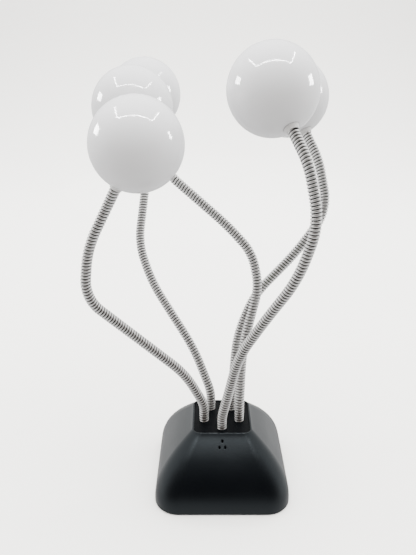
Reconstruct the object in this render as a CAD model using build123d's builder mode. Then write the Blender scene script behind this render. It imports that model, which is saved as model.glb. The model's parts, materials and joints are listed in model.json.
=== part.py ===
"""Table lamp: black domed base, five flexible chrome goosenecks, five milky globes.

Millimetres, +Z up. The origin is on the table under the middle of the base; -Y is the front,
the side with the three small sound holes.
"""
import os
from math import acos, cos, pi, sin, sqrt, tan

from build123d import *

os.makedirs("parts", exist_ok=True)

# Overall sizes
base_width = 121.4          # across the flats of the foot of the dome
base_height = 61.0          # table to the rim round the top plate
globe_diameter = 70.0
gooseneck_diameter = 8.5
gooseneck_bore = 5.4
hole_circle = 17.0          # radius of the pentagon the goosenecks stand on

# Base shell
wall = 2.8
foot_gap = 1.0              # table to the lower edge of the shell
foot_corner = 22.0          # plan corner radius at the foot
rim_corner = 8.0            # plan corner radius at the rim
plate_size = 50.2
plate_thickness = 2.0
plate_corner = 5.0
plate_gap = 0.6             # groove round the top plate
rim_width = 1.2
plate_sink = 0.5            # the plate lies this far below the rim
deck = 3.5                  # shell thickness under the plate
sound_hole = 2.2            # diameter of each of the three front holes

# Fits
joint_gap = 0.3             # between the ball end and the cup at each bend
ease = 0.1                  # fixed pieces that slide over one another
button_gap = 0.3
flange_clear = 0.344        # level gap from the button's flange to the inside of the dome
switch_stand = 4.0          # how much of the switch's depth stands on the ballast

# Inside the base
cover_thickness = 2.5
ballast_size, ballast_thickness = 84.0, 6.0
cell_diameter, cell_length = 14.5, 50.5
board_x, board_y, board_thickness = 74.0, 64.0, 1.6
button_diameter, button_travel = 11.0, 1.5

# Globes
globe_wall = 2.0
collar_height = 3.0         # globe to the end of its collar
collar_plug = 8.0           # how far the collar reaches into the globe

# Each gooseneck's turning points after it leaves the plate upright: x, y, z from the middle of
# its hole at rim height. The last point is where the tube meets its globe's collar. The reach
# grows with the globes, so that they stay clear of one another.
reach = globe_diameter / 70.0
turns = {
    "front": [(0, 0, 11), (13, -9, 76), (33, -23, 117), (55, -35, 156), (67, -39, 200),
              (59, -28, 241), (49, -11, 262)],
    "left": [(0, 0, 16), (-17, -5, 51), (-69, -16, 103), (-95, -28, 133), (-90, -26, 174),
             (-73, -21, 207), (-66, -23, 220)],
    "right": [(0, 0, 17), (2, 8, 69), (16, 20, 124), (10, 28, 153), (-11, 36, 175),
              (-63, 50, 218), (-76, 56, 241)],
    "rear_left": [(0, 0, 18), (-16, 11, 58), (-56, 40, 113), (-70, 60, 146), (-63, 90, 206),
                  (-64, 106, 246)],
    "rear_right": [(0, 0, 18), (4, 8, 72), (19, 15, 110), (57, 17, 152), (82, 20, 189),
                   (74, 33, 230), (64, 46, 251)],
}
# Compass position of each hole in the pentagon, degrees from +X
hole_angle = {"front": -90, "left": -162, "right": -18, "rear_left": 126, "rear_right": 54}

tube_r = gooseneck_diameter / 2
bore_r = gooseneck_bore / 2
globe_r = globe_diameter / 2
plate_top = base_height - plate_sink
plate_floor = plate_top - plate_thickness
cavity_top = plate_floor - deck
nut_height = 3.5
tube_foot = cavity_top - nut_height - 1.5
rim_half = plate_size / 2 + plate_gap + rim_width
cover_low = foot_gap + 1.0
cover_high = cover_low + cover_thickness


def dome_half(z):
    """Half the dome's width at height z: nearly upright low down, rolling over to the rim."""
    t = min(z / base_height, 1.0)
    return rim_half + (base_width / 2 - rim_half) * (1 - t**2.4) ** 1.15


def dome_corner(z):
    """Plan corner radius at height z: large at the foot, small at the rim."""
    share = (dome_half(z) - rim_half) / (base_width / 2 - rim_half)
    return rim_corner + (foot_corner - rim_corner) * share


def inner_half(z):
    """Half the hollow's width at height z: about one wall thickness inside the dome."""
    return dome_half(z + wall * 0.6 * z / cavity_top) - wall


def hole_at(arm):
    a = hole_angle[arm] * pi / 180
    return Vector(hole_circle * cos(a), hole_circle * sin(a), base_height)


def route(arm):
    start = hole_at(arm)
    return [start] + [start + Vector(*p) * reach for p in turns[arm]]


def bend_radii(points):
    """Radius of each bend: its arc takes 42% of the shorter straight beside it."""
    radii = []
    for before, here, after in zip(points, points[1:], points[2:]):
        u, v = here - before, after - here
        turn = acos(max(-1.0, min(1.0, u.normalized().dot(v.normalized()))))
        radii.append(0.42 * min(u.length, v.length) / tan(turn / 2))
    return radii


def stations(points):
    """Middles of the second, fourth and sixth straights, where the gooseneck bends."""
    return [(points[i] + points[i + 1]) * 0.5 for i in (1, 3, 5)]


def save(builder, name):
    builder.part.label = name
    export_step(builder.part, f"parts/{name}.step")


# ---------------------------------------------------------------- base shell
section_heights = [0.0, 0.16, 0.32, 0.46, 0.58, 0.69, 0.79, 0.87, 0.93, 0.975, 1.0]
outer_z = [foot_gap + (base_height - foot_gap) * s for s in section_heights]
inner_z = [foot_gap - 0.5 + (cavity_top - foot_gap + 0.5) * s for s in section_heights]
boss_top = 18.0
boss_r = 4.5
boss_at = dome_half(boss_top) - dome_corner(boss_top) \
    + (dome_corner(boss_top) - boss_r - 0.6) / sqrt(2)
bosses = [(sx * boss_at, sy * boss_at) for sx in (-1, 1) for sy in (-1, 1)]
screw_r = 1.5
# the three sound holes: one above two, at these distances in front of the middle
sound_y = rim_half + 4.6
sound_spots = [(0, -sound_y), (-2.5, -sound_y - 3.9), (2.5, -sound_y - 3.9)]
button_z = 22.0
button_face = dome_half(button_z)

with BuildPart() as base_shell:
    for z in outer_z:
        with BuildSketch(Plane.XY.offset(z)):
            RectangleRounded(2 * dome_half(z), 2 * dome_half(z), dome_corner(z))
    loft()
    # the inside follows the outside one wall thickness in
    for z in inner_z:
        half = inner_half(z)
        with BuildSketch(Plane.XY.offset(z)):
            RectangleRounded(2 * half, 2 * half, dome_corner(z) - wall * 0.7)
    loft(mode=Mode.SUBTRACT)
    with BuildSketch(Plane.XY.offset(cover_high)):
        with Locations(*bosses):
            Circle(boss_r)
    extrude(amount=boss_top - cover_high)
    with BuildSketch(Plane.XY.offset(cover_high - 1)):
        with Locations(*bosses):
            Circle(screw_r + 0.05)
    extrude(amount=11, mode=Mode.SUBTRACT)
    # recess for the top plate, holes for the goosenecks and the sound
    with BuildSketch(Plane.XY.offset(plate_floor)):
        RectangleRounded(plate_size + 2 * plate_gap, plate_size + 2 * plate_gap,
                         plate_corner + plate_gap)
    extrude(amount=10, mode=Mode.SUBTRACT)
    with BuildSketch(Plane.XY.offset(cavity_top - 5)):
        with Locations(*[(hole_at(a).X, hole_at(a).Y) for a in turns]):
            Circle(tube_r + ease)
    extrude(amount=12, mode=Mode.SUBTRACT)
    with BuildSketch(Plane.XY.offset(cavity_top - 8)):
        with Locations(*sound_spots):
            Circle(sound_hole / 2)
    extrude(amount=20, mode=Mode.SUBTRACT)
    # rear opening for the push button
    with BuildSketch(Plane.XZ.offset(-button_face - 3)):
        with Locations((0, button_z)):
            Circle(button_diameter / 2 + button_gap)
    extrude(amount=wall + 8, mode=Mode.SUBTRACT)
save(base_shell, "base_shell")

with BuildPart() as top_plate:
    with BuildSketch(Plane.XY.offset(plate_floor)):
        RectangleRounded(plate_size, plate_size, plate_corner)
        with Locations(*[(hole_at(a).X, hole_at(a).Y) for a in turns]):
            Circle(tube_r + ease, mode=Mode.SUBTRACT)
    extrude(amount=plate_thickness)
    chamfer(top_plate.faces().sort_by(Axis.Z)[-1].outer_wire().edges(), 0.3)
save(top_plate, "top_plate")

# ---------------------------------------------------------------- underside
foot_r, foot_at = 7.0, base_width * 0.29
feet = [(sx * foot_at, sy * foot_at) for sx in (-1, 1) for sy in (-1, 1)]
head_r, head_height = 2.8, 1.6

with BuildPart() as base_cover:
    cover_half = dome_half(cover_high) - wall - 0.3
    with BuildSketch(Plane.XY.offset(cover_low)):
        RectangleRounded(2 * cover_half, 2 * cover_half, dome_corner(cover_high) - wall * 0.7 + 0.3)
        with Locations(*bosses):
            Circle(screw_r + 0.1, mode=Mode.SUBTRACT)
    extrude(amount=cover_thickness)
    with BuildSketch(Plane.XY.offset(cover_low)):
        with Locations(*bosses):
            Circle(head_r + 0.1)
    extrude(amount=head_height, mode=Mode.SUBTRACT)
    with BuildSketch(Plane.XY.offset(cover_low)):
        with Locations(*feet):
            Circle(foot_r + ease)
        Circle(foot_r + 3 + ease)
    extrude(amount=0.5, mode=Mode.SUBTRACT)
save(base_cover, "base_cover")

with BuildPart() as rubber_feet:
    with BuildSketch(Plane.XY):
        with Locations(*feet):
            Circle(foot_r)
    extrude(amount=cover_low + 0.5)
    chamfer(rubber_feet.edges().filter_by(lambda e: e.center().Z < 0.01), 0.6)
save(rubber_feet, "rubber_feet")

with BuildPart() as center_pad:
    with BuildSketch(Plane.XY):
        Circle(foot_r + 3)
    extrude(amount=cover_low + 0.5)
    chamfer(center_pad.edges().filter_by(lambda e: e.center().Z < 0.01), 0.6)
save(center_pad, "center_pad")

with BuildPart() as cover_screws:
    with BuildSketch(Plane.XY.offset(cover_low)):
        with Locations(*bosses):
            Circle(head_r)
    extrude(amount=head_height)
    with BuildSketch(Plane.XY.offset(cover_low + head_height)):
        with Locations(*bosses):
            Circle(screw_r)
    extrude(amount=9)
    # cross recess in each head
    with BuildSketch(Plane.XY.offset(cover_low)):
        with Locations(*bosses):
            Rectangle(3.2, 0.8)
            Rectangle(0.8, 3.2)
    extrude(amount=0.9, mode=Mode.SUBTRACT)
save(cover_screws, "cover_screws")

# ---------------------------------------------------------------- inside the base
ballast_top = cover_high + ballast_thickness
button_r = button_diameter / 2
flange_r, flange_thick = button_r + 1.0, 1.5
flange_y = inner_half(button_z + flange_r) - flange_clear
switch_width, switch_depth = 13.0, 8.0
switch_face = flange_y - flange_thick - button_travel - 2.6
switch_top = button_z + 6.5
tongue_end = switch_face - switch_depth + switch_stand
tray_wall, tray_floor = 1.5, 1.5
tray_x = 3 * cell_diameter + 2 * tray_wall + 1.2
tray_y = cell_length + 2 * tray_wall + 2.4
cell_z = ballast_top + tray_floor + cell_diameter / 2 + 0.1
cell_x = [(i - 1) * (cell_diameter + 0.3) for i in range(3)]
board_z = max(base_height * 0.55, cell_z + cell_diameter / 2 + 4)
spacers = [(sx * (board_x / 2 - 4), sy * (board_y / 2 - 4)) for sx in (-1, 1) for sy in (-1, 1)]

with BuildPart() as ballast_weight:
    with BuildSketch(Plane.XY.offset(cover_high)):
        RectangleRounded(ballast_size, ballast_size, 10)
        # a tongue carries the switch, wherever the dome puts the button
        with Locations((0, tongue_end / 2)):
            Rectangle(switch_width + 2, tongue_end)
    extrude(amount=ballast_thickness)
    chamfer(ballast_weight.faces().sort_by(Axis.Z)[-1].edges(), 0.8)
save(ballast_weight, "ballast_weight")

with BuildPart() as battery_holder:
    with BuildSketch(Plane.XY.offset(ballast_top)):
        RectangleRounded(tray_x, tray_y, 2)
    extrude(amount=tray_floor + cell_diameter * 0.7)
    with BuildSketch(Plane.XY.offset(ballast_top + tray_floor)):
        Rectangle(tray_x - 2 * tray_wall, tray_y - 2 * tray_wall)
    extrude(amount=cell_diameter, mode=Mode.SUBTRACT)
save(battery_holder, "battery_holder")

with BuildPart() as battery_cells:
    for x in cell_x:
        with BuildSketch(Plane.XZ.offset(-cell_length / 2)):
            with Locations((x, cell_z)):
                Circle(cell_diameter / 2)
        extrude(amount=cell_length - 1)
        with BuildSketch(Plane.XZ.offset(cell_length / 2 - 1)):
            with Locations((x, cell_z)):
                Circle(2.6)
        extrude(amount=1)
save(battery_cells, "battery_cells")

with BuildPart() as battery_contacts:
    for y in (-1, 1):
        near = y * (cell_length / 2 + 0.2)
        with BuildSketch(Plane.XZ.offset(-near)):
            with Locations((0, cell_z)):
                Rectangle(3 * cell_diameter - 4, 8)
        extrude(amount=-y * 0.4)
save(battery_contacts, "battery_contacts")

with BuildPart() as board_spacers:
    with BuildSketch(Plane.XY.offset(ballast_top)):
        with Locations(*spacers):
            Circle(3)
    extrude(amount=board_z - ballast_top)
save(board_spacers, "board_spacers")

sensor_r, sensor_height = 4.0, 6.0
sensor_y = -board_y / 2 + sensor_r + 0.5
with BuildPart() as control_board:
    with BuildSketch(Plane.XY.offset(board_z)):
        RectangleRounded(board_x, board_y, 3)
    extrude(amount=board_thickness)
    # a few raised components
    with BuildSketch(Plane.XY.offset(board_z + board_thickness)):
        with Locations((-24, 8), (24, 8)):
            Rectangle(9, 7)
        with Locations((28, -18)):
            Circle(3)
    extrude(amount=2)
save(control_board, "control_board")

with BuildPart() as sound_sensor:
    with BuildSketch(Plane.XY.offset(board_z + board_thickness)):
        with Locations((0, sensor_y)):
            Circle(sensor_r)
    extrude(amount=sensor_height)
    with BuildSketch(Plane.XY.offset(board_z + board_thickness + sensor_height - 0.5)):
        with Locations((0, sensor_y)):
            Circle(1.2)
    extrude(amount=1, mode=Mode.SUBTRACT)
save(sound_sensor, "sound_sensor")

nut_flats = gooseneck_diameter + 5
with BuildPart() as gooseneck_nuts:
    with BuildSketch(Plane.XY.offset(cavity_top)):
        with Locations(*[(hole_at(a).X, hole_at(a).Y) for a in turns]):
            RegularPolygon(nut_flats / 2, 6, major_radius=False)
            Circle(tube_r + ease / 2, mode=Mode.SUBTRACT)
    extrude(amount=-nut_height)
    chamfer(gooseneck_nuts.edges().filter_by(GeomType.LINE).group_by(Axis.Z)[0], 0.4)
save(gooseneck_nuts, "gooseneck_nuts")

# ---------------------------------------------------------------- push button, rear
button_out = 2.5            # stands out of the dome by this much

with BuildPart() as power_button:
    with BuildSketch(Plane.XZ.offset(-flange_y)):
        with Locations((0, button_z)):
            Circle(button_r)
    extrude(amount=-(button_face + button_out - flange_y))
    fillet(power_button.faces().sort_by(Axis.Y)[-1].edges(), 0.8)
    # flange that keeps the cap in, and the pusher behind it
    with BuildSketch(Plane.XZ.offset(-flange_y)):
        with Locations((0, button_z)):
            Circle(flange_r)
    extrude(amount=flange_thick)
    with BuildSketch(Plane.XZ.offset(-flange_y + flange_thick)):
        with Locations((0, button_z)):
            Circle(1.5)
    extrude(amount=1.6)
save(power_button, "power_button")

spring_wire, spring_r = 0.25, 2.4
with BuildPart() as button_spring:
    spring_low = switch_face + spring_wire + 0.02
    spring_long = flange_y - flange_thick - switch_face - 2 * spring_wire - 0.04
    with BuildLine() as coil:
        Helix(spring_long / 3, spring_long, spring_r, center=(0, spring_low, button_z),
              direction=(0, 1, 0))
    with BuildSketch(Plane(coil.line @ 0, z_dir=coil.line % 0)):
        Circle(spring_wire)
    sweep(is_frenet=True)
save(button_spring, "button_spring")

with BuildPart() as switch_body:
    with BuildSketch(Plane.XZ.offset(-switch_face)):
        with Locations((0, (ballast_top + switch_top) / 2)):
            Rectangle(switch_width, switch_top - ballast_top)
    extrude(amount=switch_depth)
    with BuildSketch(Plane.XZ.offset(-switch_face)):
        with Locations((0, button_z)):
            Circle(1.9)
    extrude(amount=4, mode=Mode.SUBTRACT)
save(switch_body, "switch_body")

# ---------------------------------------------------------------- goosenecks and globes
parts_of = ("root", "middle", "upper", "tip")
straights = ((0, 1), (1, 3), (3, 5), (5, None))     # route corners inside each piece

for arm in turns:
    points = route(arm)
    radii = bend_radii(points)
    breaks = stations(points)
    foot = Vector(points[0].X, points[0].Y, tube_foot)
    into_globe = (points[-1] - points[-2]).normalized()
    ends = [foot] + breaks + [points[-1] + into_globe * (collar_height + 1.0)]
    for i, piece in enumerate(parts_of):
        first, last = straights[i][0] + 1, straights[i][1]
        corners = points[first:-1] if last is None else points[first:last + 1]
        bends = radii[first - 1:first - 1 + len(corners)]
        run = [ends[i]] + corners + [ends[i + 1]]
        way_in = (run[1] - run[0]).normalized()
        way_out = (run[-1] - run[-2]).normalized()
        longer = [run[0] - way_in * 2] + corners + [run[-1] + way_out * (tube_r + 2)]
        with BuildPart() as tube:
            with BuildLine() as middle_line:
                if corners:
                    FilletPolyline(*run, radius=bends)
                else:
                    Line(*run)
            with BuildSketch(Plane(run[0], z_dir=way_in)):
                Circle(tube_r)
            sweep()
            if i < 3:       # ball end that sits in the next piece's cup
                with Locations(Plane(ends[i + 1], z_dir=way_out).location):
                    Sphere(tube_r - 0.1)
            with BuildLine() as bore_line:
                if corners:
                    FilletPolyline(*longer, radius=bends)
                else:
                    Line(*longer)
            with BuildSketch(Plane(longer[0], z_dir=way_in)):
                Circle(bore_r)
            sweep(path=bore_line.line, mode=Mode.SUBTRACT)
            if i > 0:       # cup that clears the piece below
                with Locations(Plane(ends[i], z_dir=way_in).location):
                    Sphere(tube_r + joint_gap, mode=Mode.SUBTRACT)
        save(tube, f"gooseneck_{arm}_{piece}")

    # collar, light board and globe share the axis of the tube's last straight
    mouth = Plane(points[-1], z_dir=into_globe)
    centre = points[-1] + into_globe * (collar_height + globe_r)
    plug_r = tube_r + 0.9
    brim = plug_r + 0.8
    plug_end = collar_height + collar_plug
    with BuildPart() as globe_collar:
        with BuildSketch(mouth):
            Circle(tube_r + 0.5)
        with BuildSketch(mouth.offset(collar_height + 0.3)):
            Circle(brim)
        loft()
        with BuildSketch(mouth.offset(collar_height + 0.3)):
            Circle(plug_r)
        extrude(amount=collar_plug - 0.3)
        with BuildSketch(mouth.offset(-1)):
            Circle(tube_r + ease)
        extrude(amount=collar_height + 2.1, mode=Mode.SUBTRACT)
        with BuildSketch(mouth):
            Circle(bore_r)
        extrude(amount=plug_end + 1, mode=Mode.SUBTRACT)
    save(globe_collar, f"globe_collar_{arm}")

    with BuildPart() as light_board:
        with BuildSketch(mouth.offset(plug_end)):
            Circle(plug_r - 0.3)
        extrude(amount=1.2)
        with BuildSketch(mouth.offset(plug_end + 1.2)):
            Rectangle(3.5, 3.5)
        extrude(amount=1.4)
    save(light_board, f"light_board_{arm}")

    with BuildPart() as globe:
        with Locations(centre):
            Sphere(globe_r)
            Sphere(globe_r - globe_wall, mode=Mode.SUBTRACT)
        with BuildSketch(mouth.offset(collar_height - 2)):
            Circle(plug_r + ease)
        extrude(amount=10, mode=Mode.SUBTRACT)
    save(globe, f"globe_{arm}")
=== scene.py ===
# %% [markdown]
# # A table lamp with five bendable arms
# A black domed base carries five spiral metal goosenecks, and each gooseneck ends in a
# glossy milky globe. This lesson dresses the finished CAD model: it keeps every solid where
# it is, gives each one a finish, and adds the coils, the smooth globes and the lights.

# %% Load the model
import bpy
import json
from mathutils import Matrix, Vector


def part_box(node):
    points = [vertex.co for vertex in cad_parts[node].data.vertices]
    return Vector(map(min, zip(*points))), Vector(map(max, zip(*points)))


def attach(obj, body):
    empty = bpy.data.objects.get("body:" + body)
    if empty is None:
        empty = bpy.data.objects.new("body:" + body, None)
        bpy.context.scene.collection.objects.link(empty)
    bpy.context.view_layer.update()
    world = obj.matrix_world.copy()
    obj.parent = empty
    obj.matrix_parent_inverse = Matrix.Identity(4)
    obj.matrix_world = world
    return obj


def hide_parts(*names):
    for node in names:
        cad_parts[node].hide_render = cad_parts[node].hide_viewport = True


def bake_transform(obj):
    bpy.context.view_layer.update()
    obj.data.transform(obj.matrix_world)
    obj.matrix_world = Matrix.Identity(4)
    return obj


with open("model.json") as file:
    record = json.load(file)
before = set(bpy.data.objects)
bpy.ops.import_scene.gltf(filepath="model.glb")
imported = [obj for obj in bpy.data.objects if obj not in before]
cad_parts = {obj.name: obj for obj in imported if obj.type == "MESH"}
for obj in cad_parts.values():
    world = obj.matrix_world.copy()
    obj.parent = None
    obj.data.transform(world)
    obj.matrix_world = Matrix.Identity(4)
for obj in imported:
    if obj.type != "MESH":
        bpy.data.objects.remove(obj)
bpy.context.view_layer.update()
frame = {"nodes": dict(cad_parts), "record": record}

import json
import math
import bpy
import numpy as np
from mathutils import Vector

MM = 0.001

# %% [markdown]
# ## Making a mesh
# Every mesh here is worked out in millimetres, because the lamp is small, and stored in
# metres, because Blender's light falls off in metres. A mesh is a list of points and a list
# of faces that name their corners, so one short helper serves every piece.

# %% Mesh helper
def make_mesh(name, points, faces, material, smooth=True):
    mesh = bpy.data.meshes.new(name)
    mesh.from_pydata([tuple(p) for p in np.asarray(points) * MM], [], faces)
    mesh.materials.append(material)
    mesh.polygons.foreach_set("use_smooth", [smooth] * len(mesh.polygons))
    mesh.validate()
    piece = bpy.data.objects.new(name, mesh)
    bpy.context.scene.collection.objects.link(piece)
    return piece


# %% [markdown]
# ## Turning a shape
# A globe is round about one axis, like work on a lathe. A UV sphere would do for a whole
# ball, but not for a thin shell with a neck, so `lathe` turns any closed outline instead.
# It needs two directions square to the axis, which `axis_frame` finds.

# %% Turning helpers
def axis_frame(axis):
    w = np.asarray(axis, float) / np.linalg.norm(axis)
    side = np.array([0.0, 0.0, 1.0]) if abs(w[2]) < 0.9 else np.array([1.0, 0.0, 0.0])
    u = np.cross(side, w)
    u /= np.linalg.norm(u)
    return u, np.cross(w, u), w


def lathe(name, outline, origin, axis, material, steps):
    """A closed outline of (radius, height) pairs turned about an axis."""
    u, v, w = axis_frame(axis)
    ring = np.linspace(0, 2 * math.pi, steps, endpoint=False)
    points, faces = [], []
    for r, h in outline:
        for a in ring:
            points.append(origin + r * (u * math.cos(a) + v * math.sin(a)) + h * w)
    count = len(outline)
    for i in range(count):
        for j in range(steps):
            a, b = i * steps + j, i * steps + (j + 1) % steps
            c, d = ((i + 1) % count) * steps + (j + 1) % steps, ((i + 1) % count) * steps + j
            faces.append((a, b, c, d))
    return make_mesh(name, points, faces, material)


# %% [markdown]
# ## Nodes for a finish
# A finish is a small network of nodes that ends in one shader. `Network` saves writing out
# every link: it adds a node, fills its sockets with numbers or with other nodes' results,
# and mixes two colours, which is what most of the steps below need.

# %% Node helpers
class Network:
    def __init__(self, tree):
        self.tree = tree

    def add(self, kind, **values):
        """A new node; each value names a socket and is a number, a colour or a result."""
        node = self.tree.nodes.new(kind)
        for key, value in values.items():
            self.put(value, node.inputs[key.replace("_", " ")])
        return node

    def put(self, value, socket):
        if isinstance(value, bpy.types.NodeSocket):
            self.tree.links.new(value, socket)
        else:
            socket.default_value = value

    def mix(self, first, second, amount):
        """One colour fading into another."""
        node = self.tree.nodes.new("ShaderNodeMix")
        node.data_type = "RGBA"
        for socket, value in (("A", first), ("B", second), ("Factor", amount)):
            self.put(value, node.inputs[socket])
        return node.outputs["Result"]


def dimmer(color, share):
    return (*[min(1, c * share) for c in color], 1)


# %% [markdown]
# ## Colour, gloss and grain
# No real surface is one flat colour. Slow noise moves the colour by a few hundredths
# (`patch`) and the gloss with it. Moulded plastic also has a fine grain, made with a bump,
# since it is far too small to model. Where a mesh stores how deep a point lies, the colour
# darkens with it: painted shade, standing in for the shadow that fills the grooves.

# %% Finish helper
GLOSS_SWING = 0.15      # the noise makes a finish this much smoother or rougher
# painted shade for the grooves: the share of the colour left in the deepest one
GROOVE_SHADE_SHARE = 0.06       # what is left of the colour in the deepest groove
GRAIN_DEPTH = 0.0002    # metres


def finish(name, color, rough, metal=0.0, grain=0.0, grain_size=400.0, patch=0.06, shade=None,
           edge=0.0, **extra):
    material = bpy.data.materials.new(name)
    material.use_nodes = True
    net = Network(material.node_tree)
    shader = material.node_tree.nodes["Principled BSDF"]
    shader.inputs["Metallic"].default_value = metal
    for key, value in extra.items():
        shader.inputs[key.replace("_", " ")].default_value = value
    place = net.add("ShaderNodeTexCoord").outputs["Object"]
    cloud = net.add("ShaderNodeTexNoise", Vector=place, Scale=35.0, Detail=4.0).outputs["Fac"]
    painted = net.mix(dimmer(color, 1 - patch), dimmer(color, 1 + patch), cloud)
    # painted shade: the colour darkens with the stored groove value, in place of the shadow deep
    # in each groove
    if shade:
        stored = net.add("ShaderNodeAttribute")
        stored.attribute_name = shade
        painted = net.mix(painted, dimmer(color, GROOVE_SHADE_SHARE), stored.outputs["Fac"])
    net.put(painted, shader.inputs["Base Color"])
    gloss = net.add("ShaderNodeMapRange", Value=cloud, To_Min=rough * (1 - GLOSS_SWING),
                    To_Max=rough * (1 + GLOSS_SWING))
    net.put(gloss.outputs["Result"], shader.inputs["Roughness"])
    if grain:
        fine = net.add("ShaderNodeTexNoise", Vector=place, Scale=grain_size, Detail=2.0)
        bump = net.add("ShaderNodeBump", Strength=grain, Distance=GRAIN_DEPTH,
                       Height=fine.outputs["Fac"])
        net.put(bump.outputs["Normal"], shader.inputs["Normal"])
        if edge:
            # moulded corners are never sharp: they catch the light over `edge` millimetres
            soft_edge = net.add("ShaderNodeBevel", Radius=edge * MM)
            soft_edge.samples = 6
            net.put(soft_edge.outputs["Normal"], bump.inputs["Normal"])
    return material


# %% [markdown]
# ## The black base
# The dome is moulded plastic with a satin skin: nearly black, with a soft cool sheen on its
# shoulders. The plate on top is duller and speckled, so light leaves hardly any shine on it.

# %% Base finishes
looks = {
    "shell_black": finish("satin_black", (0.0008, 0.0011, 0.0020), 0.32, grain=0.10,
                          grain_size=900, edge=0.35, Specular_IOR_Level=0.35,
                          Specular_Tint=(0.82, 0.94, 1.0, 1)),
    "plate_black": finish("speckled_black", (0.0012, 0.0016, 0.0022), 0.48, grain=0.9,
                          grain_size=1100, patch=0.3, Specular_IOR_Level=0.05),
    "rubber_black": finish("rubber", (0.02, 0.02, 0.02), 0.75, grain=0.5, grain_size=1500),
    "cover_black": finish("cover", (0.02, 0.02, 0.022), 0.5, grain=0.4, grain_size=1200),
    "button_black": finish("button", (0.03, 0.03, 0.033), 0.4, grain=0.2, grain_size=1000),
}
print(len(looks), "finishes for the base")

# %% [markdown]
# ## Chrome and milky plastic
# The goosenecks are bright metal, a little worn, so their shine is soft. The globes are
# white plastic that lets some light in: a pale grey with a hard gloss gives the same pale
# body and sharp reflections, and is quicker to render than light scattered inside.

# %% Arm finishes
looks.update({
    # the chrome is darkened in its grooves as painted shade
    "chrome_tube": finish("chrome", (0.93, 0.92, 0.905), 0.32, metal=1.0, patch=0.03,
                          shade="painted_groove_shade"),
    "globe_white": finish("milky_globe", (0.655, 0.655, 0.668), 0.09, patch=0.01),
    "collar_white": finish("collar", (0.56, 0.555, 0.55), 0.28, patch=0.02),
})
print(len(looks), "finishes with the arms")

# %% [markdown]
# ## What is inside
# The works inside the base and the globes are seen only when the lamp is opened. They still
# get the finish that such a part has: steel, brass, a cast weight, green and white board.

# %% Inner finishes
looks.update({
    "steel": finish("steel", (0.55, 0.55, 0.55), 0.3, metal=1.0, grain=0.1),
    "cast": finish("cast_weight", (0.12, 0.12, 0.12), 0.6, metal=0.6, grain=0.8,
                   grain_size=500),
    "board_green": finish("board", (0.01, 0.10, 0.04), 0.35, patch=0.15),
    "board_white": finish("light_board", (0.75, 0.75, 0.74), 0.4),
    "cell_skin": finish("cell", (0.05, 0.10, 0.22), 0.3),
    "inner_black": finish("inner_plastic", (0.03, 0.03, 0.03), 0.5, grain=0.2),
    "brass": finish("brass", (0.60, 0.45, 0.2), 0.3, metal=1.0, grain=0.15),
})
for part in frame["record"]["subparts"]:
    solid = frame["nodes"][part["node"]]
    solid.data.materials.clear()
    solid.data.materials.append(looks[part["material_slot"]])
print(len(looks), "finishes on", len(frame["nodes"]), "solids")

# %% [markdown]
# ## Where the goosenecks run
# A gooseneck leaves the plate upright, then turns at a few points. The points are the same
# ones the CAD tubes follow, measured from the middle of each hole at the rim's height.

# %% Gooseneck turns
rim_height, hole_circle = 61.0, 17.0
hole_angle = {"front": -90, "left": -162, "right": -18, "rear_left": 126, "rear_right": 54}
turns = {
    "front": [(0, 0, 11), (13, -9, 76), (33, -23, 117), (55, -35, 156), (67, -39, 200),
              (59, -28, 241), (49, -11, 262)],
    "left": [(0, 0, 16), (-17, -5, 51), (-69, -16, 103), (-95, -28, 133), (-90, -26, 174),
             (-73, -21, 207), (-66, -23, 220)],
    "right": [(0, 0, 17), (2, 8, 69), (16, 20, 124), (10, 28, 153), (-11, 36, 175),
              (-63, 50, 218), (-76, 56, 241)],
    "rear_left": [(0, 0, 18), (-16, 11, 58), (-56, 40, 113), (-70, 60, 146), (-63, 90, 206),
                  (-64, 106, 246)],
    "rear_right": [(0, 0, 18), (4, 8, 72), (19, 15, 110), (57, 17, 152), (82, 20, 189),
                   (74, 33, 230), (64, 46, 251)],
}


def corners_of(arm):
    a = math.radians(hole_angle[arm])
    start = np.array([hole_circle * math.cos(a), hole_circle * math.sin(a), rim_height])
    return np.array([start] + [start + np.array(p, float) for p in turns[arm]])


print(len(turns), "goosenecks with", sum(map(len, turns.values())), "turning points")

# %% [markdown]
# ## Rounding the turns
# Metal hose can't turn a sharp corner, so each turn becomes an arc. It takes 42% of the
# shorter straight beside it, which leaves a little straight between two arcs. A Bezier
# curve would be less work, but would not lie exactly on the CAD tubes.

# %% Rounded route
ARC_SHARE, ARC_STEPS = 0.42, 16


def centre_line(points, low, beyond):
    """The rounded route as closely spaced points, from height `low` to `beyond` past the end."""
    steps = np.diff(points, axis=0)
    lengths = np.linalg.norm(steps, axis=1)
    ways = steps / lengths[:, None]
    line = [np.array([points[0][0], points[0][1], low])]
    for i in range(1, len(points) - 1):
        u, v = ways[i - 1], ways[i]
        turn = math.acos(max(-1.0, min(1.0, float(u @ v))))
        cut = ARC_SHARE * min(lengths[i - 1], lengths[i])
        radius = cut / math.tan(turn / 2)
        toward = (v - u) / np.linalg.norm(v - u)
        middle = points[i] + toward * radius / math.cos(turn / 2)
        out = (points[i] - cut * u - middle) / radius
        for k in range(ARC_STEPS + 1):
            t = turn * k / ARC_STEPS
            line.append(middle + radius * (out * math.cos(t) + u * math.sin(t)))
    line.append(points[-1] + ways[-1] * beyond)
    return np.array(line)


# %% [markdown]
# ## Directions along the route
# To wind a coil round the line, each point needs two directions square to it. They are
# carried from point to point with no twist, so the coils stay evenly spaced in the bends.

# %% Carried directions
def carried_frames(line):
    way = np.gradient(line, axis=0)
    way /= np.linalg.norm(way, axis=1)[:, None]
    side = np.zeros_like(line)
    side[0] = axis_frame(way[0])[0]
    for i in range(1, len(line)):
        s = side[i - 1] - way[i] * (side[i - 1] @ way[i])
        side[i] = s / np.linalg.norm(s)
    return side, np.cross(way, side)
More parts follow.
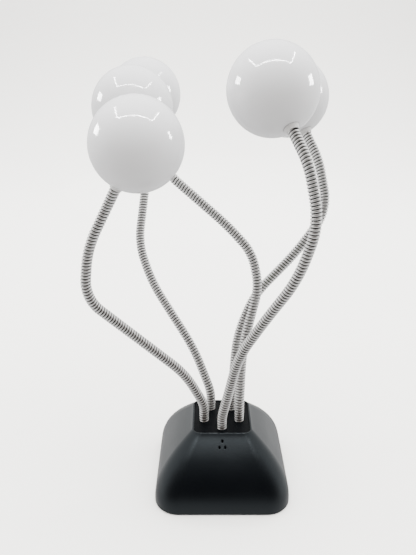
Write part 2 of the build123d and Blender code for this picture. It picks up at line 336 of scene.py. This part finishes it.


# %% [markdown]
# ## The shape of one coil
# A gooseneck is wire wound tight into a tube. Along the tube the skin goes up over a wire
# and down into the groove beside it. The wire's height at eight steps of one pitch says
# that, and a shade value for the same steps sets the painted shade, darkest deep in the groove.

# %% Coil profile
pitch = 2.6
around = 20
wire_steps = np.array([0.0, 0.10, 0.19, 0.33, 0.5, 0.67, 0.81, 0.90])
wire_height = np.array([3.35, 3.60, 4.08, 4.29, 4.35, 4.29, 4.08, 3.60])
# painted shade: 1 darkens the chrome colour deep in the groove, 0 leaves it on the wire
wire_shade = np.array([1.0, 1.0, 0.50, 0.0, 0.0, 0.0, 0.50, 1.0])
rows = len(wire_steps)
angle = np.linspace(0, 2 * math.pi, around, endpoint=False)
print("coils", pitch, "mm apart,", 2 * wire_height.max(), "mm across")

# %% [markdown]
# ## Winding the coils
# The skin is a screw: the ridge climbs one pitch for each turn round the tube. Points laid
# along that screw keep every ridge crisp, where a plain ribbed tube would show rings. The
# seam joins the last column to the first one a coil further on, so one coil more than
# needed is laid out and the unused points are dropped.

# %% Coiled skin
def coil_skin(name, first, last, fine, line, side, up):
    turns_here = np.arange(first, last + 1)
    along = np.append((turns_here[:, None] + wire_steps) * pitch, (last + 1) * pitch)
    height = np.append(np.tile(wire_height, len(turns_here)), wire_height[0])
    shade = np.append(np.tile(wire_shade, len(turns_here)), 1.0)
    place = along[:, None] + pitch * angle[None] / (2 * math.pi)
    spot = lambda table: np.stack([np.interp(place, fine, table[:, c]) for c in range(3)], -1)
    skin = spot(line) + height[:, None, None] * (spot(side) * np.cos(angle)[None, :, None]
                                                 + spot(up) * np.sin(angle)[None, :, None])
    faces = []
    for i in range(len(along) - 1 - rows):
        for j in range(around - 1):
            a = i * around + j
            faces.append((a, a + 1, a + 1 + around, a + around))
        a = i * around + around - 1
        faces.append((a, (i + rows) * around, (i + rows + 1) * around, a + around))
    used, faces = np.unique(np.array(faces), return_inverse=True)
    piece = make_mesh(name, skin.reshape(-1, 3)[used], faces.reshape(-1, 4).tolist(),
                      looks["chrome_tube"])
    # painted shade for the grooves, read by the chrome finish to darken its colour
    stored = piece.data.attributes.new("painted_groove_shade", "FLOAT", "POINT")
    stored.data.foreach_set("value", np.repeat(shade, around)[used])
    return piece


# %% [markdown]
# ## Three pieces to an arm
# Each arm bends at three places, in the middle of its second, fourth and sixth straights.
# It is cut halfway between them, so a cut never sits where the hose flexes.

# %% Coiled goosenecks
bodies_of = {arm: ["base", f"{arm}_middle", f"{arm}_upper", f"{arm}_tip"] for arm in turns}
tube_nodes = ("root", "middle", "upper", "tip")
bend_straights = (1, 3, 5)
tube_foot, past_collar, spacing, reach = 54.0, 4.0, 0.5, 26.0

for arm in turns:
    points = corners_of(arm)
    rough_line = centre_line(points, tube_foot, past_collar)
    run = np.r_[0, np.cumsum(np.linalg.norm(np.diff(rough_line, axis=0), axis=1))]
    fine = np.arange(0, run[-1], spacing)
    line = np.stack([np.interp(fine, run, rough_line[:, k]) for k in range(3)], 1)
    side, up = carried_frames(line)
    bends = [(points[i] + points[i + 1]) / 2 for i in bend_straights]
    at = [fine[np.linalg.norm(line - b, axis=1).argmin()] for b in bends]
    coils = int((run[-1] - pitch) / pitch)
    cuts = [0, int((at[0] + at[1]) / 2 / pitch), int((at[1] + at[2]) / 2 / pitch), coils]
    for k in range(3):
        coil_piece = coil_skin(f"coils_{arm}_{k + 1}", cuts[k], cuts[k + 1],
                               fine, line, side, up)
        a, b = bodies_of[arm][k], bodies_of[arm][k + 1]
        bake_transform(coil_piece)
        names = [f"gooseneck_{arm}_{tube_nodes[k]}"]
        if k == 2:
            names.append(f"gooseneck_{arm}_tip")
        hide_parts(*names)
    print(arm, coils, "coils,", round(run[-1]), "mm long")

# %% [markdown]
# ## Globes
# A blown globe is a thin even shell with a short neck hole. Its outline runs up the outside
# and back down the inside, and is turned about the last straight of its gooseneck. The
# collar in the neck is the CAD solid, which already has its true shape.

# %% Globes
globe_r, globe_wall, neck_r, collar_height = 35.0, 2.0, 5.25, 3.0
near_pole = math.pi - 0.004
inner_r = globe_r - globe_wall
outer_arc = np.linspace(math.asin(neck_r / globe_r), near_pole, 64)
inner_arc = np.linspace(near_pole, math.asin(neck_r / inner_r), 40)
outline = [(globe_r * math.sin(t), -globe_r * math.cos(t)) for t in outer_arc]
outline += [(inner_r * math.sin(t), -inner_r * math.cos(t)) for t in inner_arc]
for arm in turns:
    points = corners_of(arm)
    axis = points[-1] - points[-2]
    axis /= np.linalg.norm(axis)
    centre = points[-1] + axis * (collar_height + globe_r)
    globe = lathe(f"globe_skin_{arm}", outline, centre, axis, looks["globe_white"], 128)
    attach(globe, f"{arm}_tip")
    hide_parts(f"globe_{arm}")
print(len(turns), "globes", 2 * globe_r, "mm across with a", globe_wall, "mm wall")

# %% [markdown]
# ## The return spring
# Behind the push button sits a small wound spring. One end rests on the switch and the other
# on the button, so the coils close up as the button goes in. The wire is a round section
# carried along a screw line.

# %% Return spring
low, high = (np.array(corner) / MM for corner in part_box("button_spring"))
wire_r, spring_turns, wire_sides, stations_per_turn = 0.25, 3, 8, 24
coil_r = (high[0] - low[0]) / 2 - wire_r
centre = (low + high) / 2
last = stations_per_turn * spring_turns
spring_points, spring_faces = [], []
for t in np.linspace(0, 1, last + 1):
    turn = 2 * math.pi * spring_turns * t
    outward = np.array([math.cos(turn), 0.0, math.sin(turn)])
    spot = centre + coil_r * outward
    spot[1] = low[1] + wire_r + t * (high[1] - low[1] - 2 * wire_r)
    for a in 2 * math.pi * np.arange(wire_sides) / wire_sides:
        spring_points.append(spot + wire_r * (outward * math.cos(a)
                                              + np.array([0.0, math.sin(a), 0.0])))
for i in range(last):
    for j in range(wire_sides):
        a, b = i * wire_sides + j, i * wire_sides + (j + 1) % wire_sides
        spring_faces.append((a, b, b + wire_sides, a + wire_sides))
spring_faces.append(tuple(range(wire_sides - 1, -1, -1)))
spring_faces.append(tuple(last * wire_sides + j for j in range(wire_sides)))
spring = make_mesh("return_spring", spring_points, spring_faces, looks["steel"])
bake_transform(spring)
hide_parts("button_spring")
print("spring of", spring_turns, "turns,", round(high[1] - low[1], 2), "mm long")

# %% [markdown]
# ## The set
# A pale sweep of card runs under the lamp and up far behind it, as in a small studio. Its
# floor and wall meet in a wide curve, so no corner line shows. The card is there to be seen
# and to take the shadow: light that bounces off it would show in the chrome as a pattern.

# %% Floor and backdrop
card = finish("card", (0.93, 0.92, 0.885), 0.9, patch=0.005)
floor_front, seam, back, curve, rise, half_width = -700.0, -300.0, 1300.0, 600.0, 2500.0, 2500.0


def card_strip(name, profile):
    points = [(x, y, z) for y, z in profile for x in (-half_width, half_width)]
    faces = [(2 * i, 2 * i + 1, 2 * i + 3, 2 * i + 2) for i in range(len(profile) - 1)]
    strip = make_mesh(name, points, faces, card)
    strip.visible_diffuse = False
    strip.visible_glossy = False


sweep = [(seam, 0.0), (0.0, 0.0), (back, 0.0)]
sweep += [(back + curve * math.sin(t), curve - curve * math.cos(t))
          for t in np.linspace(0.1, math.pi / 2, 15)]
card_strip("card_sweep", sweep + [(back + curve, rise)])
card_strip("card_front", [(floor_front, 0.0), (seam, 0.0)])
print("card from", floor_front, "to", back + curve, "mm")

# %% [markdown]
# ## The ceiling light
# Most of the light comes from a wide soft panel overhead. It stays out of reflections, where
# so large a panel would wash out the globes; narrow strips draw its edges there instead.

# %% Ceiling
def panel(name, place, target, wide, tall, power):
    data = bpy.data.lights.new(name, "AREA")
    data.shape = "RECTANGLE"
    data.size, data.size_y, data.energy = wide, tall, power
    lamp = bpy.data.objects.new(name, data)
    bpy.context.scene.collection.objects.link(lamp)
    lamp.location = place
    aim = Vector(target) - Vector(place)
    lamp.rotation_euler = aim.to_track_quat("-Z", "Y").to_euler()
    return lamp


ceiling = panel("ceiling", (0, 0.05, 1.7), (0, 0.05, 0), 1.6, 1.4, 57)
ceiling.visible_glossy = False
print("ceiling of", ceiling.data.energy, "W")

# %% [markdown]
# ## Highlights on the globes
# Each globe shows a thin bright arc near its top, the front and side edges of the light
# overhead, and a small bright window on each side. Light linking keeps these lamps on the
# globes alone, so they make a highlight there and change nothing else.

# %% Edge strips and side lamps
def shine_only_on(lamps, name, pieces):
    """These lamps are there for the reflections they leave on `pieces`, and light nothing else."""
    chosen = bpy.data.collections.new(name)
    for piece in pieces:
        chosen.objects.link(piece)
    for lamp in lamps:
        lamp.light_linking.receiver_collection = chosen
        lamp.visible_diffuse = False


strips = [panel("edge_front", (-0.03, -0.22, 0.93), (-0.03, -0.22, 0), 0.84, 0.022, 9.0),
          panel("edge_left", (-0.45, 0.02, 0.93), (-0.45, 0.02, 0), 0.022, 0.44, 4.5),
          panel("edge_right", (0.40, 0.02, 0.93), (0.40, 0.02, 0), 0.022, 0.44, 4.5),
          panel("side_left", (-0.95, 0.22, 0.60), (0, 0, 0.3), 0.30, 0.20, 15),
          panel("side_right", (0.95, 0.12, 0.58), (0, 0, 0.3), 0.24, 0.24, 15)]
shine_only_on(strips, "globes_only", [bpy.data.objects[f"globe_skin_{arm}"] for arm in turns])
print(len(strips), "lamps on the globes")

# %% [markdown]
# ## Shoulder and backdrop
# One panel above the front gives the dome its soft shoulder shine, and one behind lifts the
# backdrop to the same pale grey as the floor.

# %% Dome and backdrop panels
dome_panel = panel("front_soft", (0, -0.30, 1.2), (0, 0, 0.05), 0.7, 0.25, 22.0)
shine_only_on([dome_panel], "dome_only", [frame["nodes"]["base_shell"]])
backdrop = panel("backdrop", (0, 1.0, 1.6), (0, 1.9, 0.6), 2.4, 0.5, 65)
backdrop.visible_glossy = False
print("panels of", dome_panel.data.energy, "and", backdrop.data.energy, "W")

# %% [markdown]
# ## The room
# Chrome and gloss need something to reflect. The room is white all round, with a tall dark
# patch in front of the lamp, like someone standing in a doorway. A world shader can be one
# picture or a few nodes; nodes are enough here. The angle to straight ahead, from a dot
# product, picks a colour from a ramp: dark in the middle, white at the sides.

# %% Dark patch
world = bpy.data.worlds.new("studio")
bpy.context.scene.world = world
world.use_nodes = True
room = Network(world.node_tree)
glow = world.node_tree.nodes["Background"]
glow.inputs["Strength"].default_value = 4.2
white = (1.0, 0.995, 0.97, 1)
black = (0, 0, 0, 1)


def vector_step(operation, first, second=None):
    node = world.node_tree.nodes.new("ShaderNodeVectorMath")
    node.operation = operation
    room.put(first, node.inputs[0])
    if second:
        node.inputs[1].default_value = second
    return node.outputs["Value" if operation == "DOT_PRODUCT" else "Vector"]


way = room.add("ShaderNodeTexCoord").outputs["Generated"]
drawn_up = vector_step("NORMALIZE", vector_step("MULTIPLY", way, (1.0, 1.0, 0.85)))
ahead = vector_step("DOT_PRODUCT", drawn_up, (0.0, -1.0, 0.0))
ramp = room.add("ShaderNodeValToRGB", Fac=ahead)
ramp_stops = ramp.color_ramp.elements
ramp_stops[0].position, ramp_stops[0].color = 0.15, (1.0, 1.0, 0.99, 1)
ramp_stops[1].position, ramp_stops[1].color = 0.72, (0.045, 0.034, 0.029, 1)
ramp_stops.new(0.55).color = (0.22, 0.20, 0.19, 1)
print(len(ramp_stops), "colours across the room")

# %% [markdown]
# ## Three ways to see the room
# Shiny things see the patch crisply, with pale floor below it. Dull things gather a softer
# version, weaker from below, because the lamp stands on a table. Straight ahead the room is
# plain white. The Light Path node says which kind of ray is asking.

# %% Room light
def step_of(source, low, high, start=0.0, end=1.0):
    node = room.add("ShaderNodeMapRange", Value=source, From_Min=low, From_Max=high,
                    To_Min=start, To_Max=end)
    return node.outputs["Result"]


height = room.add("ShaderNodeSeparateXYZ", Vector=way).outputs["Z"]
sharp = room.mix(ramp.outputs["Color"], (0.60, 0.60, 0.60, 1), step_of(height, -0.22, -0.40))
sharp = room.mix(black, sharp, 0.43)
soft = room.mix(ramp.outputs["Color"], white, 0.28)
soft = room.mix(black, soft, step_of(height, -0.35, 0.15, start=0.58))
ray = room.add("ShaderNodeLightPath")
seen = room.mix(soft, sharp, ray.outputs["Is Glossy Ray"])
seen = room.mix(seen, white, ray.outputs["Is Camera Ray"])
room.put(seen, glow.inputs["Color"])
print(len(world.node_tree.nodes), "nodes in the room")

# %% [markdown]
# ## The camera
# The camera stands in front, above the globes, and looks 20 degrees down, so the top plate
# shows. Near as it is, the upper globes look larger than the base would suggest.

# %% Camera
camera_data = bpy.data.cameras.new("camera")
camera_data.sensor_fit = "HORIZONTAL"
camera_data.sensor_width = 36.0
camera_data.lens = 47.77
camera = bpy.data.objects.new("camera", camera_data)
bpy.context.scene.collection.objects.link(camera)
camera.location = (-0.0127, -0.4399, 0.3634)
camera.rotation_euler = (math.radians(90 - 20.44), 0, 0)
bpy.context.scene.camera = camera
print("lens of", camera_data.lens, "mm")
